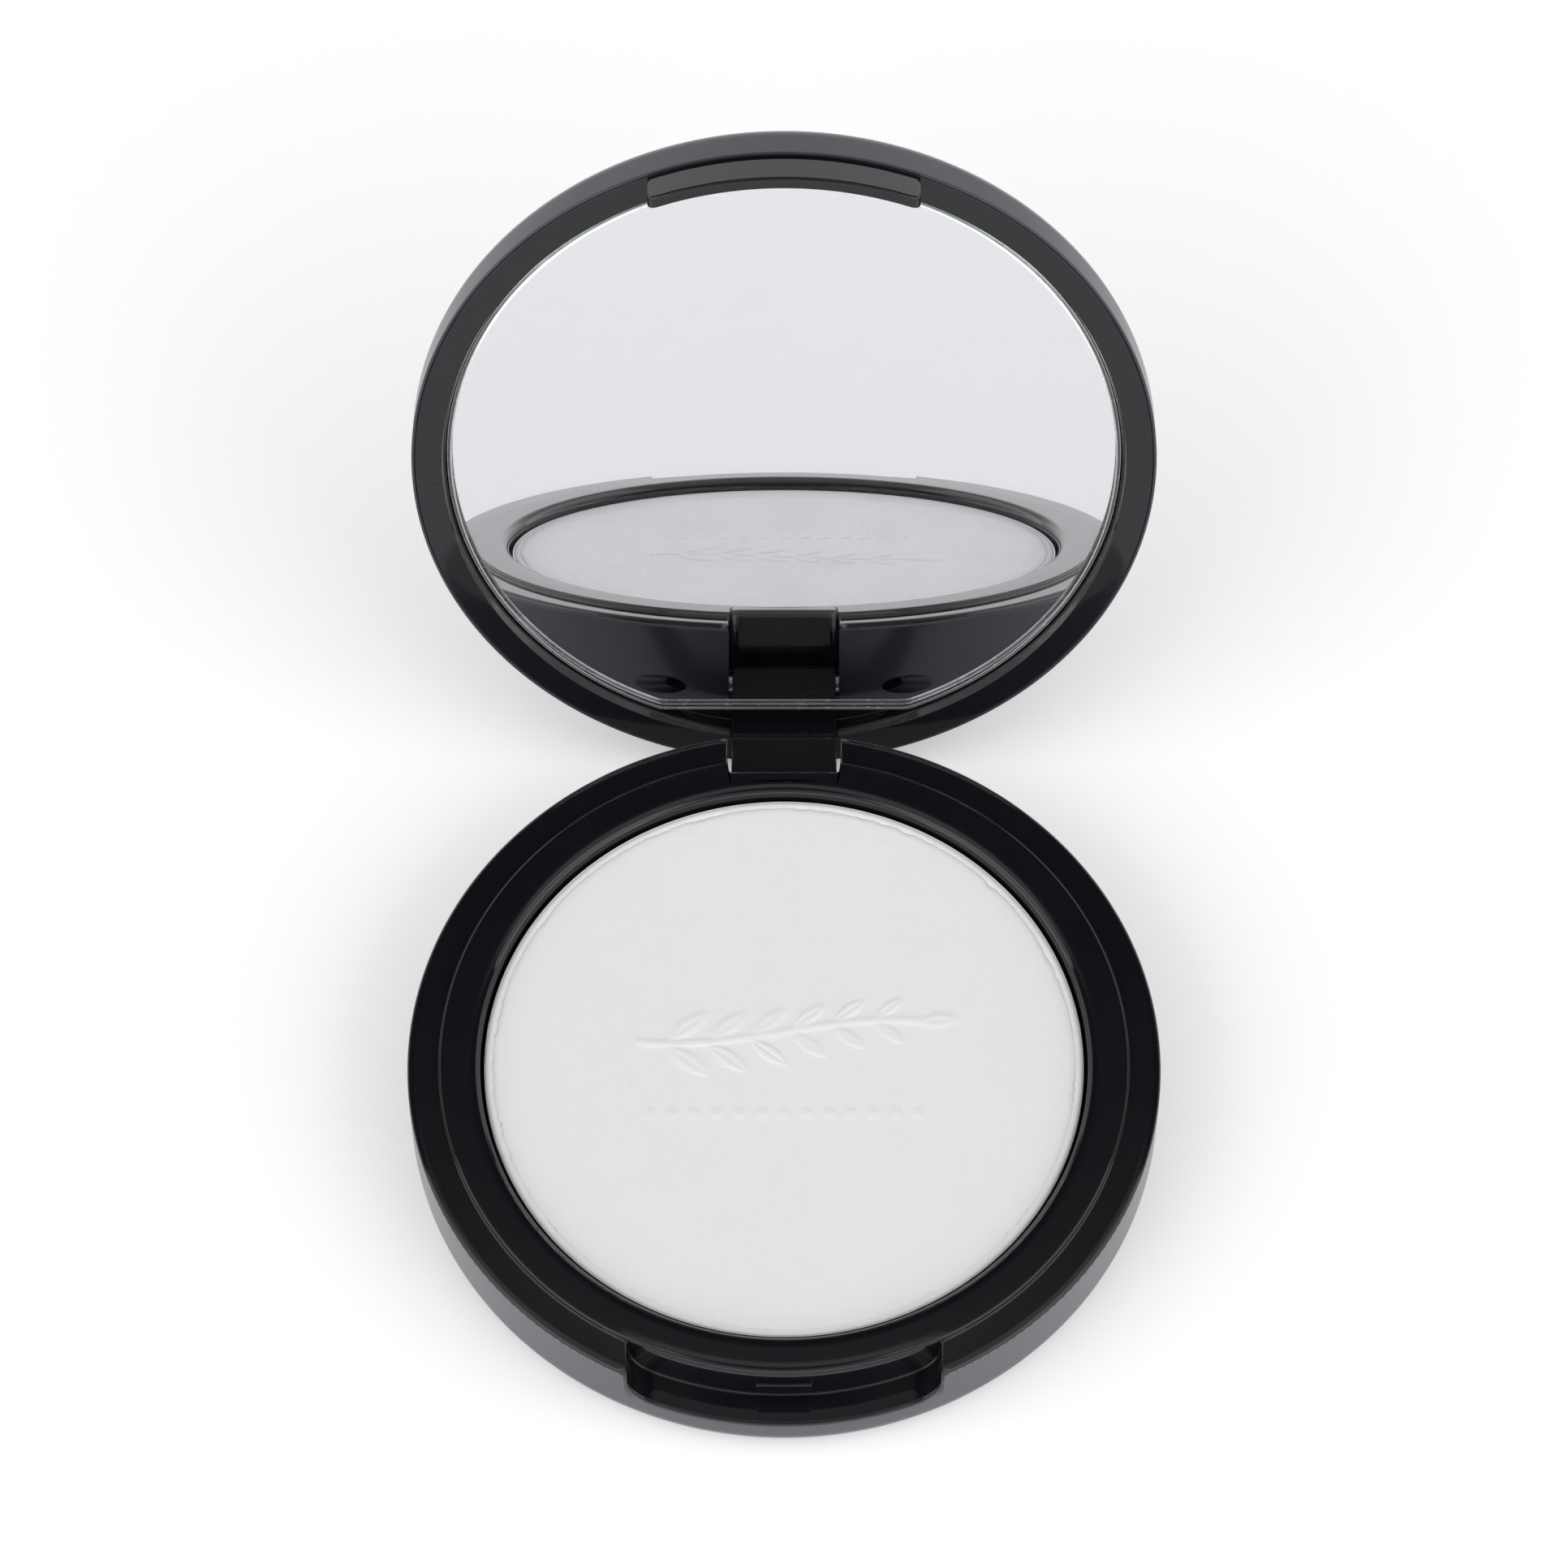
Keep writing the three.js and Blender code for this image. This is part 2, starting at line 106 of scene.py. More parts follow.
STOP_R = 2.05  # of the arm's room where the open arm rests on its stop
CATCH_HALF = 2.95
CATCH_TOP = RIM - 1.25
CATCH_BOTTOM = RIM - 2.7
CATCH_REACH = 0.55
MIRROR_FACE = LID_RIM + 0.95
MIRROR_BACK = MIRROR_FACE + 1.1
RECESS_FLOOR = MIRROR_BACK + 0.25
RECESS_R = 33.65
MIRROR_CHORD = 31.0
TAB_HALF = 13.1
TAB_DROP = 3.95
TAB_R = (35.35, 36.6)  # inner and outer face
TAB_CORNER = 1.0
RIM_OPENING_R = RECESS_R + 0.36
ARM_HALF = 5.35
ARM_THICK = 2.0  # half of it
STEP_ANGLE = 1.5  # degrees between the ribs of a round shape

# ---- The powder's relief ----
SPRIG_Y = 3.4
BEADS_Y = -5.6
BEAD_PITCH = 2.2
EMBOSS_DEPTH = 0.095
FINE_R = 20.0  # radius inside which the powder's mesh is fine enough for the motif
FINE_STEP = 0.24
POWDER_RIBS = 480
POWDER_RIM_R = 28.62

# ---- Floor, light and camera, in metres ----
FLOOR_SIZE = 1.6
SOFT_BOX_PLACE = (1.45, -0.6, 1.0)
SOFT_BOX_SIZE = (2.0, 1.8)
SOFT_BOX_POWER = 14.5
CAMERA_ELEVATION = math.radians(60.62)
CAMERA_DISTANCE = 0.650
CAMERA_AIM = Vector((0, 31.065, RIM)) * MM
CAMERA_LENS = 148.41  # on a 36 mm sensor


# ---- Mesh helpers ----
def arc(x, y, radius, start, end, steps):
    """Points on an arc from one angle to another, in degrees."""
    turns = [math.radians(start + (end - start) * i / steps) for i in range(steps + 1)]
    return [(x + radius * math.cos(t), y + radius * math.sin(t)) for t in turns]


def rounded(corners, steps=4):
    """An outline of (x, y, rounding radius) corners, with each rounding as an arc. The first and
    last corner are neighbours."""
    outline = []
    for i, (x, y, radius) in enumerate(corners):
        here = Vector((x, y))
        if radius == 0:
            outline.append((x, y))
            continue
        before = (Vector(corners[i - 1][:2]) - here).normalized()
        after = (Vector(corners[(i + 1) % len(corners)][:2]) - here).normalized()
        half = before.angle(after) / 2
        centre = here + (before + after).normalized() * (radius / math.sin(half))
        start = here + before * (radius / math.tan(half)) - centre
        end = here + after * (radius / math.tan(half)) - centre
        sweep = math.atan2(start.x * end.y - start.y * end.x, start.dot(end))
        for k in range(steps + 1):
            spoke = Matrix.Rotation(sweep * k / steps, 2) @ start
            outline.append(tuple(centre + spoke))
    return outline


def lofted(ribs, wrap=True, closed_rib=True):
    """Vertices and faces of a skin over ribs, which are lists of the same number of points."""
    count, size = len(ribs), len(ribs[0])
    vertices = [Vector(p) for rib in ribs for p in rib]
    faces = []
    for i in range(count if wrap else count - 1):
        j = (i + 1) % count
        for k in range(size if closed_rib else size - 1):
            m = (k + 1) % size
            faces.append((i * size + k, j * size + k, j * size + m, i * size + m))
    if not wrap:
        faces.append(tuple(range(size - 1, -1, -1)))
        faces.append(tuple((count - 1) * size + k for k in range(size)))
    return vertices, faces


def turned(outline, step=STEP_ANGLE, closed_rib=True):
    """A skin of (radius, height) points turned about the Z axis."""
    turns = [math.radians(i * step) for i in range(round(360 / step))]
    ribs = [[(r * math.cos(t), r * math.sin(t), z) for r, z in outline] for t in turns]
    return lofted(ribs, closed_rib=closed_rib)


def prism(outline, place):
    """A prism over an outline, where place(u, v, end) puts its corners for ends 0 and 1."""
    ribs = [[place(u, v, end) for u, v in outline] for end in (0, 1)]
    return lofted(ribs, wrap=False)


def solid_mesh(name, skin):
    """A mesh in metres from a skin, with doubled points merged and its faces turned outwards."""
    mesh = bpy.data.meshes.new(name)
    mesh.from_pydata([v * MM for v in skin[0]], [], skin[1])
    tidy = bmesh.new()
    tidy.from_mesh(mesh)
    bmesh.ops.remove_doubles(tidy, verts=tidy.verts, dist=MERGE_DISTANCE)
    bmesh.ops.dissolve_degenerate(tidy, edges=tidy.edges, dist=MERGE_DISTANCE)
    bmesh.ops.recalc_face_normals(tidy, faces=tidy.faces)
    tidy.to_mesh(mesh)
    tidy.free()
    return mesh


def linked(name, data):
    """A new object in the scene."""
    thing = bpy.data.objects.new(name, data)
    bpy.context.scene.collection.objects.link(thing)
    return thing


def new_piece(name, skin, look, body, slot, replaces=(), lid=False, bevel=0):
    """A piece of the object: its mesh, its material and its body. The slot argument is not used."""
    mesh = solid_mesh(name, skin)
    mesh.shade_smooth()
    piece = linked(name, mesh)
    for one in look if isinstance(look, (list, tuple)) else [look]:
        mesh.materials.append(one)
    if lid:
        piece.matrix_world = LID_PLACE
    if bevel:
        edge = piece.modifiers.new("rounded_edges", "BEVEL")
        edge.width = bevel * MM
        edge.segments = 3
        edge.limit_method = "ANGLE"
        edge.angle_limit = math.radians(35)
    if replaces:
        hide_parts(*replaces)
    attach(piece, body)
    return piece


def even_shading(piece):
    """Large flat faces keep flat shading, so that only the roundings bend reflections."""
    weighted = piece.modifiers.new("even_shading", "WEIGHTED_NORMAL")
    weighted.keep_sharp = True
    weighted.weight = 80
    return piece


# ---- Materials ----
class Look:
    """A Principled material and short ways to add nodes to it."""

    def __init__(self, name, **settings):
        self.material = bpy.data.materials.new(name)
        self.material.use_nodes = True
        self.nodes = self.material.node_tree.nodes
        self.links = self.material.node_tree.links
        self.shader = self.nodes["Principled BSDF"]
        self.place = self.add("ShaderNodeTexCoord").outputs["Object"]
        for socket, value in settings.items():
            self.set(self.shader, socket.replace("_", " "), value)

    def add(self, kind, attributes=None, **inputs):
        node = self.nodes.new(kind)
        for key, value in (attributes or {}).items():
            setattr(node, key, value)
        for key, value in inputs.items():
            self.set(node, key.replace("_", " "), value)
        return node

    def set(self, node, socket, value):
        if isinstance(value, bpy.types.NodeSocket):
            self.links.new(value, node.inputs[socket])
        elif isinstance(value, tuple) and len(value) == 3 and socket.endswith("Color"):
            node.inputs[socket].default_value = (*value, 1)
        else:
            node.inputs[socket].default_value = value

    def math(self, operation, *values):
        node = self.add("ShaderNodeMath", {"operation": operation})
        for i, value in enumerate(values):
            if isinstance(value, bpy.types.NodeSocket):
                self.links.new(value, node.inputs[i])
            else:
                node.inputs[i].default_value = value
        return node.outputs[0]

    def noise(self, scale, detail=2.0, roughness=0.5, place=None):
        node = self.add("ShaderNodeTexNoise", Scale=scale, Detail=detail, Roughness=roughness)
        self.links.new(place or self.place, node.inputs["Vector"])
        return node.outputs["Fac"]

    def between(self, value, low, high, to_low=0.0, to_high=1.0):
        """Maps low..high to to_low..to_high, held at the ends and smooth between them."""
        node = self.add("ShaderNodeMapRange", {"interpolation_type": "SMOOTHSTEP"})
        for i, part in enumerate((value, low, high, to_low, to_high)):
            if isinstance(part, bpy.types.NodeSocket):
                self.links.new(part, node.inputs[i])
            else:
                node.inputs[i].default_value = part
        return node.outputs[0]

    def mix(self, factor, first, second):
        node = self.add("ShaderNodeMix", {"data_type": "RGBA"})
        self.set(node, 0, factor)
        for socket, colour in ((node.inputs[6], first), (node.inputs[7], second)):
            if isinstance(colour, bpy.types.NodeSocket):
                self.links.new(colour, socket)
            else:
                socket.default_value = (*colour, 1)
        return node.outputs[2]

    def specks(self, spacing, radius, share):
        """A mask of small round specks, one to a cell of that spacing, for a share of the cells."""
        cells = self.add("ShaderNodeTexVoronoi", Scale=1 / (spacing * MM))
        self.links.new(self.place, cells.inputs["Vector"])
        spot = self.between(cells.outputs["Distance"], radius * 0.6 / spacing, radius / spacing, 1, 0)
        chosen = self.math("LESS_THAN", cells.outputs["Color"], share)
        return self.math("MULTIPLY", spot, chosen)

    def bump(self, height, strength, depth):
        node = self.add("ShaderNodeBump", Strength=strength, Distance=depth * MM)
        self.links.new(height, node.inputs["Height"])
        self.links.new(node.outputs[0], self.shader.inputs["Normal"])
        return node


def shell_look():
    look = Look("soft_touch_shell", Specular_IOR_Level=0.45, Specular_Tint=(0.90, 0.90, 1.0, 1.0))
    grain = look.noise(5500, 3)
    cloud = look.noise(90, 3)
    tone = look.mix(cloud, (0.031, 0.030, 0.041), (0.038, 0.037, 0.050))
    dust = look.specks(2.4, 0.05, 0.16)
    look.set(look.shader, "Base Color", look.mix(dust, tone, (0.34, 0.33, 0.32)))
    look.set(look.shader, "Roughness", look.between(cloud, 0.25, 0.75, 0.205, 0.235))
    look.bump(grain, 0.12, 0.02)
    return look.material


def gloss_look(name="gloss_frame", marks=False):
    look = Look(name, Specular_IOR_Level=0.42)
    film = look.noise(140, 4, 0.6)
    dust = look.specks(1.7, 0.045, 0.2)
    fine_dust = look.specks(0.9, 0.022, 0.25)
    all_dust = look.math("MAXIMUM", dust, look.math("MULTIPLY", fine_dust, 0.6))
    tone = look.mix(film, (0.0045, 0.005, 0.0065), (0.0065, 0.007, 0.009))
    look.set(look.shader, "Base Color", look.mix(all_dust, tone, (0.3, 0.29, 0.28)))
    rough = look.between(film, 0.3, 0.7, 0.045, 0.085)
    look.set(look.shader, "Roughness", look.math("ADD", rough, look.math("MULTIPLY", all_dust, 0.5)))
    ripple = look.math("MULTIPLY", look.noise(260, 2), 0.25)
    height = look.math("ADD", ripple, all_dust)
    if marks:
        height = look.math("SUBTRACT", height, look.math("MULTIPLY", ejector_rings(look), 1.6))
    look.bump(height, 0.1, 0.03)
    return look.material


def ejector_rings(look):
    """Six faint circles that the mould's ejector pins leave round the lid's rim face."""
    split = look.add("ShaderNodeSeparateXYZ", Vector=look.place)
    x, y = split.outputs[0], split.outputs[1]
    sixth = math.radians(60)
    turn = look.math("ARCTAN2", y, x)
    folded = look.math("PINGPONG", look.math("ADD", turn, math.radians(360)), sixth / 2)
    radius = look.math("SQRT", look.math("ADD", look.math("POWER", x, 2), look.math("POWER", y, 2)))
    along = look.math("MULTIPLY", radius, look.math("SINE", folded))
    across = look.math("SUBTRACT", look.math("MULTIPLY", radius, look.math("COSINE", folded)), 35.4 * MM)
    squares = look.math("ADD", look.math("POWER", along, 2), look.math("POWER", across, 2))
    off = look.math("ABSOLUTE", look.math("SUBTRACT", look.math("SQRT", squares), 2.2 * MM))
    return look.between(off, 0.03 * MM, 0.1 * MM, 1, 0)


def powder_look():
    look = Look("pressed_powder", Specular_IOR_Level=0.12, Roughness=0.95)
    look.set(look.shader, "Sheen Weight", 0.9)
    look.set(look.shader, "Sheen Roughness", 0.4)
    split = look.add("ShaderNodeSeparateXYZ", Vector=look.place)
    pitch = 0.21 * MM
    threads = []
    for axis, other in ((0, 1), (1, 0)):
        sway = look.math("MULTIPLY", look.noise(700, 2), pitch * 1.2)
        phase = look.math("ADD", split.outputs[axis], sway)
        wave = look.math("SINE", look.math("MULTIPLY", phase, 2 * math.pi / pitch))
        threads.append(wave)
    weave = look.math("ADD", *threads)
    patch = look.between(look.noise(160, 2), 0.3, 0.7, 0.35, 1)
    cloth = look.math("MULTIPLY", look.math("ADD", weave, look.noise(2600, 2)), patch)
    grains = look.noise(9000, 3, 0.7)
    cloud = look.noise(55, 3)
    tone = look.mix(cloud, (0.865, 0.865, 0.873), (0.89, 0.89, 0.896))
    fleck = look.math("MULTIPLY", look.specks(3.4, 0.06, 0.10), 0.5)
    # Painted shade: the powder's colour darkens a little where the cloth weave is low, in the weave's
    # hollows.
    painted_weave_shade = look.mix(look.between(cloth, -2, 1.0, 0.08, 0), tone, (0.62, 0.62, 0.64))
    look.set(look.shader, "Base Color", look.mix(fleck, painted_weave_shade, (0.5, 0.49, 0.48)))
    height = look.math("ADD", look.math("MULTIPLY", cloth, 0.3), grains)
    look.bump(height, 0.5, 0.035)
    return look.material


def pan_look():
    look = Look("pan_metal", Metallic=1.0)
    brushed = look.noise(900, 3)
    look.set(look.shader, "Base Color", look.mix(brushed, (0.80, 0.81, 0.82), (0.90, 0.91, 0.92)))
    look.set(look.shader, "Roughness", look.between(brushed, 0.3, 0.7, 0.38, 0.5))
    look.bump(brushed, 0.05, 0.004)
    return look.material


def silver_look():
    look = Look("mirror_silver", Metallic=1.0)
    haze = look.noise(40, 2)
    look.set(look.shader, "Base Color", look.mix(haze, (0.725, 0.73, 0.755), (0.74, 0.745, 0.77)))
    look.set(look.shader, "Roughness", look.between(haze, 0.3, 0.7, 0.0, 0.012))
    return look.material


def glass_look():
    look = Look("mirror_glass", Transmission_Weight=1.0, IOR=1.5, Base_Color=(0.985, 0.985, 0.985))
    smear = look.noise(60, 3)
    look.set(look.shader, "Roughness", look.between(smear, 0.4, 0.8, 0.0, 0.01))
    return look.material


def ground_edge_painted_glint_look():
    look = Look("ground_edge_painted_glints", IOR=1.5, Metallic=0.45)
    grit = look.noise(900, 3)
    # Painted highlights: bright white stripes that run round the edge by depth stand in for the glints along
    # the ground edge, with painted dark lines between them. The grit's roughness and bump are the edge's
    # own.
    split = look.add("ShaderNodeSeparateXYZ", Vector=look.place)
    sway = look.math("MULTIPLY", look.noise(25, 2), 0.08 * MM)
    depth = look.math("ADD", split.outputs[2], sway)
    line = look.math("SINE", look.math("MULTIPLY", depth, 2 * math.pi / (0.31 * MM)))
    line = look.between(line, -0.9, 0.3)
    look.set(look.shader, "Base Color", look.mix(line, (0.22, 0.25, 0.25), (1.0, 1.0, 1.0)))
    look.set(look.shader, "Roughness", look.between(grit, 0.3, 0.7, 0.12, 0.3))
    look.bump(look.math("ADD", grit, line), 0.15, 0.006)
    return look.material


def steel_look():
    look = Look("pin_steel", Metallic=1.0)
    drawn = look.noise(2500, 3)
    look.set(look.shader, "Base Color", look.mix(drawn, (0.5, 0.5, 0.51), (0.66, 0.67, 0.68)))
    look.set(look.shader, "Roughness", look.between(drawn, 0.3, 0.7, 0.2, 0.4))
    look.bump(drawn, 0.15, 0.01)
    return look.material


def plain_look(name, dark, light, roughness, scale, depth):
    """A matte material with a grain, for paper, tape and glue."""
    look = Look(name, Specular_IOR_Level=0.3)
    grain = look.noise(scale, 4, 0.6)
    look.set(look.shader, "Base Color", look.mix(grain, dark, light))
    look.set(look.shader, "Roughness", look.between(grain, 0.2, 0.8, roughness - 0.1, roughness + 0.1))
    look.bump(grain, 0.3, depth)
    return look.material


SHELL = shell_look()
GLOSS = gloss_look()
LID_GLOSS = gloss_look("gloss_lid_frame", marks=True)


# ---- Ribs that follow the thumb notch and the hinge slot round the base ----
def notch_path(margin):
    """(x, height, outward x, outward z) down the notch's outline from its middle to its top edge.
    The outward direction points into the material."""
    corner_r = NOTCH_CORNER + margin
    floor = NOTCH_FLOOR - margin
    inside = NOTCH_HALF - NOTCH_CORNER
    path = [(inside * i / 16, floor, 0, -1) for i in range(16)]
    for i in range(11):
        t = math.radians(270 + 9 * i)
        x, z = inside + corner_r * math.cos(t), NOTCH_FLOOR + NOTCH_CORNER + corner_r * math.sin(t)
        path.append((x, z, math.cos(t), math.sin(t)))
    return path


def edge_path(x, top, radius):
    """The rounded top edge of a wall at x, from its face to the flat top."""
    path = []
    for i in range(5):
        t = math.radians(180 - 22.5 * i)
        spot = (x + 0.004 * (i + 1) + radius * (1 + math.cos(t)), top - radius + radius * math.sin(t))
        path.append((*spot, -math.cos(t), -math.sin(t)))
    return path


def eased(value, low, high):
    """0 below low, 1 above high and smooth between them."""
    t = min(max((value - low) / (high - low), 0), 1)
    return t * t * (3 - 2 * t)


def flank_spot(turn, radius):
    """The plan place at a radius for a rib at an angle from the front. Ribs run straight back
    beside the notch and the slot and radially between them."""
    if radius <= STEP_R:
        return radius * math.sin(turn), -radius * math.cos(turn)
    away = min(turn, math.pi - turn)
    straight = math.asin(STEP_R * math.sin(away) / radius)
    ends = (28, 62) if turn < math.pi / 2 else (12, 45)
    angle = straight + (away - straight) * eased(math.degrees(away), *ends)
    return radius * math.sin(angle), -radius * math.cos(angle) * (1 if turn < math.pi / 2 else -1)


def straight_spot(x, radius, back):
    """The plan place at a radius on a line of constant x."""
    y = math.sqrt(radius * radius - x * x)
    return x, (y if back else -y)


def mirrored_ribs(half):
    """Ribs for the whole way round from the ribs of the +X half, front to back."""
    other = [[(-x, y, z) for x, y, z in rib] for rib in reversed(half)]
    keep = [i for i, rib in enumerate(half) if abs(rib[-1][0]) + abs(rib[len(rib) // 2][0]) > 1e-6]
    middle = {i for i in range(len(half)) if i not in keep}
    return half + [rib for i, rib in enumerate(other) if len(half) - 1 - i not in middle]


# ---- Base ----
def ring_shoulder(turn):
    """(step from the wall, height) over the raised ring's outer edge, which is rounder above the
    thumb notch."""
    radius = 1.0 - 0.72 * eased(math.degrees(turn), 19, 31)
    return arc(-radius, RING_TOP - radius, radius, 90, 0, 9)


def base_frame_rib(turn, wall, outer, height, reach):
    """One rib of the frame: from the well's floor over the raised ring and out to the rim.
    wall is the plan place of the ring's outer wall, outer(radius, depth) a point of the flange
    and reach the flange's outer radius."""
    direction = Vector((math.sin(turn), -math.cos(turn)))
    wall = Vector(wall)
    out = wall.normalized()

    def spoke(radius, z):
        spot = direction * radius
        return (spot.x, spot.y, z)

    def beside_wall(step, z):
        spot = wall + out * step
        return (spot.x, spot.y, z)

    rib = [spoke(PUSH_HOLE_R, WELL_FLOOR)]
    rib += [spoke(WELL_R - 0.3, WELL_FLOOR), spoke(WELL_R, WELL_FLOOR + 0.3)]
    rib += [spoke(WELL_R, PAN_TOP - 0.4)]
    rib += [spoke(r, z) for r, z in arc(LIP_CENTRE, RING_TOP - LIP_R, LIP_R, 176, 90, 12)]
    # Flat supports between the roundings keep the ring's top even.
    rib += [spoke(LIP_CENTRE + 0.43, RING_TOP), beside_wall(-1.2, RING_TOP)]
    rib += [beside_wall(x, z) for x, z in ring_shoulder(turn)]
    for x, z in arc(FOOT_R, height + FOOT_R, FOOT_R, 180, 270, 3):
        rib.append(beside_wall(x, z))
    in_notch = height < RIM - 0.01
    wide, deep = (0.33, NOTCH_LINING) if in_notch else (0.8, 0.38)
    lining = NOTCH_LINING + 0.02 if in_notch else LINING
    for x, z in arc(0, 0, 1, 90, 0, 7):
        rib.append(outer(reach - wide + wide * x, deep - deep * z))
    rib.append(outer(reach, lining))
    rib.append(outer(STEP_R - 0.9, lining) if reach > 36 else spoke(32.0, height - 0.4))
    rib.append(spoke(WELL_R + 1, WELL_FLOOR))
    rib.append(spoke(WELL_R + 0.8, WELL_FLOOR - 1))
    rib.append(spoke(PUSH_HOLE_R, WELL_FLOOR - 1))
    return rib


def base_frame_skin():
    """The base's inner frame: ribs across the notch, round the flank and across the slot."""
    half = []

    def along_cut(path, back):
        for x, z, out_x, out_z in path:
            def outer(radius, depth, x=x, z=z, out_x=out_x, out_z=out_z):
                spot = straight_spot(x + out_x * depth, radius, back)
                return (*spot, z + out_z * depth)

            turn = math.asin(x / STEP_R)
            wall = straight_spot(x, STEP_R, back)
            reach = CASE_R if z > SHELL_TOP or not back else CASE_R - WALL - 0.1
            half.append(base_frame_rib(math.pi - turn if back else turn, wall, outer, z, reach))

    notch_edge = edge_path(NOTCH_HALF, RIM, 0.22)
    along_cut(notch_path(0), False)
    along_cut(notch_edge, False)
    slot_edge = edge_path(SLOT_HALF, RIM, 0.16)
    first = math.degrees(math.asin(notch_edge[-1][0] / STEP_R))
    last = 180 - math.degrees(math.asin(slot_edge[-1][0] / STEP_R))
    count = round((last - first) / STEP_ANGLE)
    for i in range(1, count):
        turn = math.radians(first + (last - first) * i / count)

        def outer(radius, depth, turn=turn):
            return (*flank_spot(turn, radius), RIM - depth)

        half.append(base_frame_rib(turn, flank_spot(turn, STEP_R), outer, RIM, CASE_R))
    along_cut(list(reversed(slot_edge)), True)
    below = [(SLOT_HALF + 0.003, SHELL_TOP + 0.01, 1, 0), (SLOT_HALF + 0.002, SHELL_TOP - 0.02, 1, 0)]
    along_cut([*below, (SLOT_HALF, SLOT_FLOOR, 1, 0)], True)
    for i in range(5):
        x = (SLOT_HALF - 0.01) * (1 - i / 4)

        def outer(radius, depth, x=x):
            return (x, min(radius, 35.0), SLOT_FLOOR - min(depth, 0.4))

        turn = math.pi - math.asin(x / STEP_R)
        half.append(base_frame_rib(turn, (x, SLOT_FRONT), outer, SLOT_FLOOR, 35.0))
    return lofted(mirrored_ribs(half))


def catch_skin():
    """A small square nose on the notch's inner wall, narrower towards its lower front edge."""
    root, nose = -STEP_R + 0.5, -STEP_R - CATCH_REACH
    side = [(root, CATCH_TOP), (nose, CATCH_TOP), (nose, CATCH_BOTTOM), (root, CATCH_BOTTOM)]

    def place(y, z, end):
        half_width = CATCH_HALF - 0.12 * (root - y) - 0.12 * (RIM - z)
        return (half_width * (2 * end - 1), y, z)

    return prism(side, place)


def base_shell_rib(spot, top):
    """One rib of the base's cup, from the inner floor over its top edge to the underside, where
    spot(radius) is the plan place and top the edge's height."""
    inner = CASE_R - WALL
    rib = [(0.0, WALL), (inner - BASE_CORNER + WALL, WALL), *arc(inner - 1.8, WALL + 1.8, 1.8, -60, 0, 2)]
    rib += [(inner, top - 0.05), (inner + 0.05, top)]
    rib += arc(CASE_R - 0.12, top - 0.12, 0.12, 90, 0, 3)
    rib += [(CASE_R, (top + BASE_CORNER) / 2)]
    rib += arc(CASE_R - BASE_CORNER, BASE_CORNER, BASE_CORNER, 0, -90, 12)
    rib += [(25.0, 0.0), (LABEL_R + 0.35, 0.0), (LABEL_R + 0.05, 0.2), (0.0, 0.2)]
    return [(*spot(radius), z) for radius, z in rib]


def base_shell_skin():
    """The base's cup, whose edge dips under the thumb notch. The hinge slot is cut later."""
    half = []
    margin = NOTCH_LINING + 0.04
    path = notch_path(margin)
    wall_x = NOTCH_HALF + margin
    places = [(x, z) for x, z, _, _ in path]
    places += [(wall_x + 0.01, SHELL_TOP - 0.5), (wall_x + 0.02, SHELL_TOP), (wall_x + 0.4, SHELL_TOP)]
    for x, z in places:
        turn = math.asin(x / STEP_R)

        def spot(radius, x=x, turn=turn):
            if radius >= STEP_R:
                return straight_spot(x, radius, False)
            return radius * math.sin(turn), -radius * math.cos(turn)

        half.append(base_shell_rib(spot, z))
    first = math.degrees(turn)
    count = round((180 - first) / STEP_ANGLE)
    for i in range(1, count + 1):
        turn = math.radians(first + (180 - first) * i / count)

        def spot(radius, turn=turn):
            return flank_spot(turn, radius)

        half.append(base_shell_rib(spot, SHELL_TOP))
    return lofted(mirrored_ribs(half), closed_rib=False)


def slot_cutter_skin():
    """The room that the hinge arm needs in the shell: round under the hinge and open at the back."""
    rest = 360 - math.degrees(OPEN_ANGLE)
    above, beyond = 30.0, 20.0
    side = [(PIVOT.y - SLOT_R, above), *arc(PIVOT.y, PIVOT.z, SLOT_R, 180, rest, 10)]
    stop = arc(PIVOT.y, PIVOT.z, STOP_R, rest, rest, 1)[0]
    slope = math.radians(rest + 90)
    far = (stop[0] + beyond * math.cos(slope), stop[1] + beyond * math.sin(slope))
    side += [stop, far, (far[0], above)]
    return prism(side, lambda y, z, end: (SLOT_HALF * (2 * end - 1), y, z))


def bar_skin(radius, ends, chamfer, sides=48):
    """A round bar along the hinge line with chamfered ends."""
    profile = [(0, ends[0]), (radius - chamfer, ends[0]), (radius, ends[0] + chamfer)]
    profile += [(radius, ends[1] - chamfer), (radius - chamfer, ends[1]), (0, ends[1])]
    vertices, faces = turned(profile, 360 / sides, closed_rib=False)
    return [Vector((v.z, PIVOT.y + v.x, PIVOT.z + v.y)) for v in vertices], faces


def cut_away(piece, name, skin):
    """Cuts a skin's room out of a piece with a boolean, and leaves no cutter behind."""
    cutter = linked(name, solid_mesh(name, skin))
    cut = piece.modifiers.new(name, "BOOLEAN")
    cut.operation = "DIFFERENCE"
    cut.solver = "EXACT"
    cut.object = cutter
    bpy.context.view_layer.update()
    graph = bpy.context.evaluated_depsgraph_get()
    result = bpy.data.meshes.new_from_object(piece.evaluated_get(graph))
    piece.modifiers.remove(cut)
    piece.data = result
    bpy.data.objects.remove(cutter)


